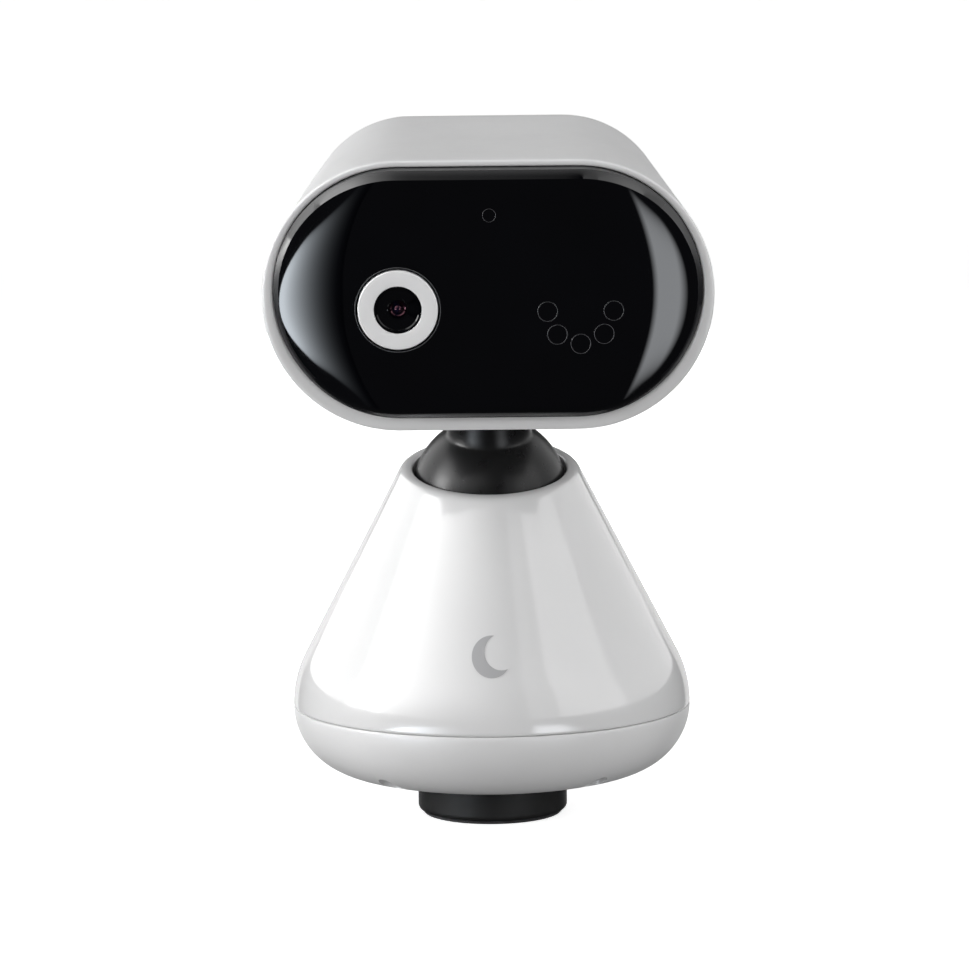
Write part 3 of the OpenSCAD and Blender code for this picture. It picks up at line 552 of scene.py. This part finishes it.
def make_ball():
    flare_r = STEM_R + 1.1
    top = math.acos(flare_r / BALL_R)
    foot_z = BALL_R * math.sin(top)
    outline = [(3.2, STEM_H + 8), (3.2, -5.4), (11, -12.1)]
    outline += arc(0, 0, BALL_R, -47.8, math.degrees(top) - 1, 60)
    outline += [(flare_r + 0.1, foot_z + 0.12), (flare_r - 0.02, foot_z + 0.4)]
    outline += [(flare_r - 1.1 * t ** 0.7, foot_z + 0.4 + 6.5 * t) for t in (0.15, 0.3, 0.5, 0.7, 1.0)]
    outline += [(STEM_R, STEM_H - 0.5), (STEM_R - 0.3, STEM_H), (5, STEM_H)]
    outline += [(5, STEM_H + 7.6), (4.6, STEM_H + 8)]
    ball = lathe("ball_and_stem", outline, ON_STEM, 192, looped=True)
    finish_piece(ball, "black_satin", "head", "ball_stem")


# ---------- head ----------

def body_ring(y, inset=0.0):
    """Ring of the tapered housing at depth y."""
    t = (y - FRONT_Y) / HEAD_DEPTH
    return oval(FRONT_END_R + (BACK_END_R - FRONT_END_R) * t - inset,
                FRONT_FLAT + (BACK_FLAT - FRONT_FLAT) * t, FRONT_MID + (BACK_MID - FRONT_MID) * t, y)


def cover_ring(y, inset=0.0):
    """Ring of the rear cover's edge at depth y."""
    return oval(COVER_END_R - inset, COVER_FLAT, COVER_MID, y)


def make_housing():
    recess = oval(VISOR_END_R + PANEL_GAP, VISOR_FLAT, VISOR_MID, FRONT_Y)
    front = body_ring(FRONT_Y)
    edge = 0.55
    rear_edge = 2.0
    rings = [moved(recess, FRONT_Y + 2.4), moved(recess, FRONT_Y + 0.35)]
    rings += [moved(mix(recess, front, 0.12), FRONT_Y + 0.08), moved(mix(recess, front, 0.3), FRONT_Y)]
    for i in range(7):
        a = math.radians(90 * i / 6)
        y = FRONT_Y + edge * (1 - math.cos(a))
        rings.append(mix(moved(recess, y), body_ring(y), 0.62 + 0.38 * math.sin(a)))
    for i in range(1, 12):
        y = FRONT_Y + edge + (BACK_Y - rear_edge - FRONT_Y - edge) * i / 11
        rings.append(body_ring(y))
    for i in range(1, 9):
        a = math.radians(90 * i / 8)
        rings.append(body_ring(BACK_Y - rear_edge * (1 - math.sin(a)), rear_edge * (1 - math.cos(a))))
    seat = cover_ring(BACK_Y, -PANEL_GAP)
    rings += [moved(seat, BACK_Y - 0.15), moved(seat, BACK_Y - 2.6)]
    rings += [body_ring(BACK_Y - 3, HEAD_WALL + 0.3), body_ring(FRONT_Y + 6, HEAD_WALL)]
    housing = skin("head_shell", rings, IN_HEAD, looped=True, sharp=50)
    finish_piece(housing, "shell_satin", "head", "head_housing")


def visor_rise(x, z):
    """How far the visor stands out of the rim: domed across and rolled over at its two ends."""
    across = abs(x) / (VISOR_END_R + VISOR_FLAT)
    beyond = max(0.0, abs(x) - VISOR_FLAT)
    reach = math.hypot(beyond, z - VISOR_MID)
    roll = max(0.0, 1 - (VISOR_END_R - reach) / 14.0)
    sideways = beyond / reach if reach > 0 else 0.0
    return VISOR_PROUD - 3.2 * across ** 3.8 - 1.7 * sideways * roll ** 3


def visor_spot(x, z):
    """The visor's depth at a place on its front."""
    return FRONT_Y - visor_rise(x, z)


def visor_bevel(z):
    return 1.0 + 0.7 * ((z - VISOR_MID) / VISOR_END_R) ** 2


def rim_gap(p):
    """How far a place on the head is inside the visor's outline."""
    return VISOR_END_R - math.hypot(max(0.0, abs(p.x) - VISOR_FLAT), p.z - VISOR_MID)


def soften_below(obj, height):
    """Shades the bevel as a soft roll on the lower half of the head."""
    sharp = obj.data.attributes["sharp_edge"].data
    to_head = IN_HEAD.inverted()
    for edge in obj.data.edges:
        ends = [to_head @ (obj.data.vertices[v].co / MM) for v in edge.vertices]
        if max(rim_gap(p) for p in ends) < 2.2 and max(p.z for p in ends) < height:
            sharp[edge.index].value = False


def mark_rim(obj):
    """Marks the bevel's points, which the finish makes satin."""
    to_head = IN_HEAD.inverted()
    rim = obj.data.attributes.new("rim", "FLOAT", "POINT")
    for k, vertex in enumerate(obj.data.vertices):
        p = to_head @ (vertex.co / MM)
        rim.data[k].value = 1.0 if rim_gap(p) < visor_bevel(p.z) + 0.04 else 0.0


def make_visor():
    outline = oval(VISOR_END_R, VISOR_FLAT, VISOR_MID, 0)
    rings = [oval(VISOR_END_R - 2, VISOR_FLAT, VISOR_MID, FRONT_Y + 2.4), moved(outline, FRONT_Y + 2.4)]
    bevel = [visor_bevel(p.z) for p in outline]
    low = [max(0.3, visor_rise(p.x, p.z) - 1.3) for p in outline]
    rings.append([Vector((p.x, FRONT_Y - h, p.z)) for p, h in zip(outline, low)])
    spine = oval(0.001, VISOR_FLAT, VISOR_MID, 0)
    for i in range(49):
        t = (i / 48) ** 1.4
        ring = []
        for p, q, w in zip(outline, spine, bevel):
            gap = w + (VISOR_END_R - w) * t
            spot = p.lerp(q, gap / VISOR_END_R)
            ring.append(Vector((spot.x, visor_spot(spot.x, spot.z), spot.z)))
        rings.append(ring)
    for r in (0.001, VISOR_END_R - 6, VISOR_END_R - 4):
        back = oval(r, VISOR_FLAT - 2, VISOR_MID, 0)
        rings.append([Vector((p.x, visor_spot(p.x, VISOR_MID) + 2, p.z)) for p in back])
    visor = skin("visor_dome", rings, IN_HEAD, looped=True, sharp=25)
    cut(visor, [pin("lens_hole", LENS_RING_R + 0.28, -4, 60, facing(-EYE_X, 0, EYE_Z), 120)])
    soften_below(visor, VISOR_MID - 4)
    mark_rim(visor)
    finish_piece(visor, "visor_black", "head", "visor")


def surface_rings(name, rings):
    """Fine raised lines that follow the visor: (x, z, radius, width) of each."""
    points = []
    faces = []
    steps = 64
    for mid_x, mid_z, r, width in rings:
        start = len(points)
        flank = width * 0.7
        for at, lift in ((r - width, 0.0), (r - flank, 0.03), (r + flank, 0.03), (r + width, 0.0)):
            for k in range(steps):
                x = mid_x + at * math.cos(TAU * k / steps)
                z = mid_z + at * math.sin(TAU * k / steps)
                points.append((x, visor_spot(x, z) - lift, z))
        for ring in range(4):
            a = start + ring * steps
            b = start + (ring + 1) % 4 * steps
            for k in range(steps):
                n = (k + 1) % steps
                faces.append((a + k, a + n, b + n, b + k))
    return add_mesh(name, points, faces, IN_HEAD, 80)


def make_visor_marks():
    """The rings that show through over the lamps and the light sensor, and a painted highlight round the lens: a
    grey ring that stands in for light on the edge of the lens hole.
    """
    rings = [(0.3, SENSOR_Z, SENSOR_MARK_R, 0.06)]
    for i in range(5):
        turn = math.pi * (1 + i / 4)
        x = EYE_X + 0.35 + LAMP_ARC_R * math.cos(turn)
        rings.append((x, LAMP_Z + LAMP_ARC_R * math.sin(turn), LAMP_MARK_R, 0.08))
    marks = surface_rings("lamp_marks", rings)
    finish_piece(marks, "frame_grey", "head", finish="mark_dark")
    # painted highlight: this grey ring on the visor stands in for light caught on the edge of the lens hole
    lens_highlight = surface_rings("lens_edge_painted_highlight", [(-EYE_X, EYE_Z, LENS_RING_R + 0.5, 0.09)])
    finish_piece(lens_highlight, "frame_grey", "head")


def make_lens():
    face = -visor_spot(EYE_X, EYE_Z) + 0.35
    place = facing(-EYE_X, 0, EYE_Z)
    ring_outline = [(LENS_RING_BORE, 29), (LENS_RING_R, 29), (LENS_RING_R, face - 0.3)]
    ring_outline += arc(LENS_RING_R - 0.3, face - 0.3, 0.3, 0, 90, 6)[1:]
    ring_outline += arc(LENS_RING_BORE + 0.15, face - 0.15, 0.15, 90, 180, 4)
    ring = lathe("lens_surround", ring_outline, place, 128, looped=True)
    finish_piece(ring, "ring_white", "head", "lens_ring")
    dish = [(0, face - 4.4), (LENS_RING_BORE - 0.02, face - 4.4), (LENS_RING_BORE - 0.02, face - 0.5)]
    dish += [(4.3, face - 0.55), (4.1, face - 0.9), (2.1, face - 1.15), (2.02, face - 1.05)]
    dish += [(1.86, face - 1.05), (1.78, face - 1.2), (1.74, face - 2.8), (0, face - 2.8)]
    bezel = lathe("lens_dish", dish, place, 96)
    finish_piece(bezel, "visor_black", "head", "lens_bezel")
    glass = [(0, face - 2.7), (1.7, face - 2.7), (1.66, face - 2.2), (1.5, face - 2.1), (1.3, face - 2.2)]
    glass += arc(0, face - 2.6, 1.15, 30, 90, 10)
    window = lathe("lens_glass", glass, place, 64)
    finish_piece(window, "lens_glass", "head", "lens_window")


def make_rear_cover():
    edge = 0.5
    top = BACK_Y + 0.3
    rings = [cover_ring(top - 2.6)]
    for i in range(6):
        a = math.radians(90 * i / 5)
        rings.append(cover_ring(top - edge * (1 - math.sin(a)), edge * (1 - math.cos(a))))
    cover = skin("rear_panel", rings, IN_HEAD, caps=True, sharp=50)
    tools = []
    for i in range(-3, 4):
        slot = [vent_ring(VENT_PITCH * i, y) for y in (BACK_Y - 4, BACK_Y + 2)]
        tools.append(skin("vent", slot, IN_HEAD, caps=True))
    tools.append(pin("button_hole", BUTTON_R + 0.4, -BACK_Y - 2, -BACK_Y + 6, facing(0, 0, BUTTON_Z), 64))
    for x, z in COVER_SCREWS:
        tools.append(pin("screw_well", 2.2, -BACK_Y - 2, -BACK_Y + 0.9, facing(x, 0, z)))
    cut(cover, tools)
    finish_piece(cover, "shell_satin", "head", "rear_cover")


def vent_ring(x, y):
    """Ring of an upright rounded slot."""
    return [Vector((p.z - VENT_Z + x, y, VENT_Z + p.x)) for p in oval(0.7, 3.5, VENT_Z, y, 10, 4)]


def make_button():
    top = -BACK_Y - 1.1
    flange_r = BUTTON_R + 1.2
    outline = [(0, top + 0.35), (2.4, top + 0.25), (3.3, top), (3.7, top + 0.04)]
    outline += [(BUTTON_R - 0.05, top + 0.3), (BUTTON_R, top + 0.6), (BUTTON_R, -BACK_Y + 2.4)]
    outline += [(flange_r, -BACK_Y + 2.4), (flange_r, -BACK_Y + 3.2), (0, -BACK_Y + 3.2)]
    button = lathe("pair_key", outline, facing(0, 0, BUTTON_Z), 64)
    finish_piece(button, "button_grey", "button", "pair_button")


# ---------- studio ----------

def make_stage():
    """A pale round floor that curves up all round the object."""
    bend = 600
    far = 1600
    outline = [(0, 0), (400, 0), (far, 0)]
    outline += arc(far, bend, bend, -90, 0, 15)[1:]
    outline.append((far + bend, 2800))
    floor = lathe("studio_floor", outline, steps=96, sharp=80)
    material, tree, shader, coords = new_material("pale_floor")
    cloudy = noise(tree, coords, 0.004, 2)
    tree.links.new(tint(tree, cloudy, (0.86, 0.86, 0.86), (0.9, 0.9, 0.9)), shader.inputs["Base Color"])
    shader.inputs["Roughness"].default_value = 0.9
    shader.inputs["Specular IOR Level"].default_value = 0.1
    shader.inputs["Emission Color"].default_value = (1, 1, 1, 1)
    shader.inputs["Emission Strength"].default_value = 0.78
    floor.data.materials.append(material)
    floor.visible_glossy = False
    floor.visible_diffuse = False


def sky_point(turn, rise, distance):
    """A place seen from the object: turn from the front, rise above level, in degrees."""
    turn, rise = math.radians(turn), math.radians(rise)
    level = math.cos(rise)
    return Vector((math.sin(turn) * level, -math.cos(turn) * level, math.sin(rise))) * distance


def lamp(name, turn, rise, distance, size, power, aim=(0, 0, 0.09)):
    """A large soft light. What shows of it in the gloss is a reflector card."""
    light = bpy.data.lights.new(name, "AREA")
    light.shape = "RECTANGLE"
    light.size, light.size_y = size
    light.energy = power
    obj = bpy.data.objects.new(name, light)
    spot = sky_point(turn, rise, distance)
    obj.location = spot + Vector(aim)
    obj.rotation_euler = (-spot).to_track_quat("-Z", "Y").to_euler()
    obj.visible_glossy = False
    bpy.context.scene.collection.objects.link(obj)


def glow_material(name, colour, strength):
    """A light panel whose brightness follows the mesh's glow attribute."""
    material, tree, shader, _ = new_material(name)
    read = tree.nodes.new("ShaderNodeAttribute")
    read.attribute_name = "glow"
    power = tree.nodes.new("ShaderNodeMath")
    power.operation = "MULTIPLY"
    power.inputs[1].default_value = strength
    tree.links.new(read.outputs["Fac"], power.inputs[0])
    tree.links.new(power.outputs["Value"], shader.inputs["Emission Strength"])
    shader.inputs["Emission Color"].default_value = (*colour, 1)
    shader.inputs["Base Color"].default_value = (0, 0, 0, 1)
    shader.inputs["Specular IOR Level"].default_value = 0
    return material


def add_panel(obj, material, glow, glossy):
    """A panel that lights either the gloss or the matt side of the object, and isn't seen itself."""
    level = obj.data.attributes.new("glow", "FLOAT", "POINT")
    level.data.foreach_set("value", glow)
    obj.data.materials.append(material)
    obj.visible_camera = False
    obj.visible_glossy = glossy
    obj.visible_diffuse = not glossy
    obj.visible_shadow = False


def bounce(level):
    """Light that comes back up from the floor."""
    panel = lathe("floor_bounce", [(1, -2), (500, -2), (1000, -2)], steps=32)
    glow = [1.0] * len(panel.data.vertices)
    add_panel(panel, glow_material("floor_bounce", (1, 1, 1), level), glow, False)


def card(name, turns, rises, strength, colour=(1, 1, 1), fade=0.0, power=1.3, rounded=0.0, lift=0.0,
         trail=0.0, crown=1.0, distance=1.3):
    """A bright card on a sphere round the object, seen only in reflections.
    fade softens its first side, by a curve of that power, and trail its far side. rounded draws the far side
    in towards top and bottom, lift softens its foot, and crown is how bright its top edge is."""
    steps = 24
    points = []
    glow = []
    for j in range(steps + 1):
        up = j / steps
        off_mid = 2 * up - 1
        width = (turns[1] - turns[0]) * math.sqrt(1 - (rounded * off_mid) ** 2)
        level = 1.0 if rounded == 0 else 1 - abs(off_mid) ** 5
        top = crown + (1 - crown) * min(1.0, 6 * (1 - up))
        for i in range(steps + 1):
            along = i / steps
            turn = turns[0] + width * i / steps
            rise = rises[0] + (rises[1] - rises[0]) * j / steps
            foot = 1.0 if lift == 0 else min(1.0, up / lift + along ** 2)
            end = 1.0 if trail == 0 else min(1.0, (1 - along) / trail)
            start = 1.0 if fade == 0 else min(1.0, along / fade) ** power
            points.append((sky_point(turn, rise, distance) + BALL * MM) / MM)
            glow.append(level * foot * end * top * start)
    faces = []
    for j in range(steps):
        for i in range(steps):
            k = j * (steps + 1) + i
            faces.append((k, k + 1, k + steps + 2, k + steps + 1))
    obj = add_mesh(name, points, faces, sharp=80)
    add_panel(obj, glow_material(name, colour, strength), glow, True)


def make_studio():
    make_stage()
    bounce(0.26)
    lamp("left_softbox", -78, 20, 1.0, (0.75, 1.1), 6.5)
    lamp("right_softbox", 66, 22, 1.0, (0.6, 1.1), 3.8)
    lamp("left_low_fill", -72, 4, 1.0, (0.5, 0.16), 3.0)
    lamp("right_low_fill", 70, 4, 1.0, (0.5, 0.16), 1.3)
    lamp("front_fill", -15, 8, 1.1, (0.9, 0.5), 3.4)
    lamp("top_softbox", 180, 78, 1.2, (1.2, 0.9), 4.6)
    lamp("rear_fill", 180, 10, 1.2, (1.2, 0.6), 4.0)
    lamp("backdrop_light", 180, 35, 0.9, (2.0, 0.8), 40, (0, 1.6, 0.9))
    card("left_low_card", (-14, -63), (-23, -3), 15, colour=(0.86, 0.93, 1.0), fade=0.9, power=1.9,
         rounded=0.9)
    card("right_low_card", (22, 53), (-25, -1), 5.6, colour=(0.93, 0.96, 1.0), fade=0.12, power=1.0,
         rounded=0.9, trail=0.3)
    card("left_high_card", (21, -92), (4, 62), 6.3, fade=0.75, power=1.6, lift=0.45, crown=0.45)
    card("left_spot_card", (-68, -90), (5, 23), 22, distance=1.25)
    card("front_high_card", (21.1, 38.9), (4, 63), 1.0)
    card("left_back_card", (-92, -150), (4, 62), 2.4)
    card("right_high_card", (39, 84), (4, 62), 2.5, crown=0.5)
    card("right_back_card", (84, 150), (4, 62), 1.3)
    card("top_card", (-180, 179.9), (64, 89.9), 1.4)
    card("rear_low_card", (150, 210), (-24, 4), 0.8)
    world = bpy.data.worlds.new("studio_air")
    world.use_nodes = True
    air = world.node_tree.nodes["Background"]
    air.inputs["Color"].default_value = (0.97, 0.98, 1.0, 1)
    air.inputs["Strength"].default_value = 0.05
    bpy.context.scene.world = world
    bpy.context.scene.view_settings.view_transform = "Standard"


def make_camera():
    """Eye a little above the head, looking slightly down, 0.8 m in front."""
    camera = bpy.data.cameras.new("camera")
    camera.lens = 142.7
    camera.sensor_width = 36
    obj = bpy.data.objects.new("camera", camera)
    down = math.radians(7.02)
    roll = math.radians(-0.56)
    eye = (-0.001, -0.8, 0.1677)
    look = Matrix.Rotation(math.pi / 2 - down, 4, "X") @ Matrix.Rotation(roll, 4, "Z")
    obj.matrix_world = Matrix.Translation(eye) @ look
    bpy.context.scene.collection.objects.link(obj)
    bpy.context.scene.camera = obj


make_camera()
finish_frame_nodes()
make_upper_shell()
make_lower_shell()
make_foot()
make_ball()
make_housing()
make_visor()
make_visor_marks()
make_lens()
make_rear_cover()
make_button()
make_studio()

bpy.context.view_layer.update()
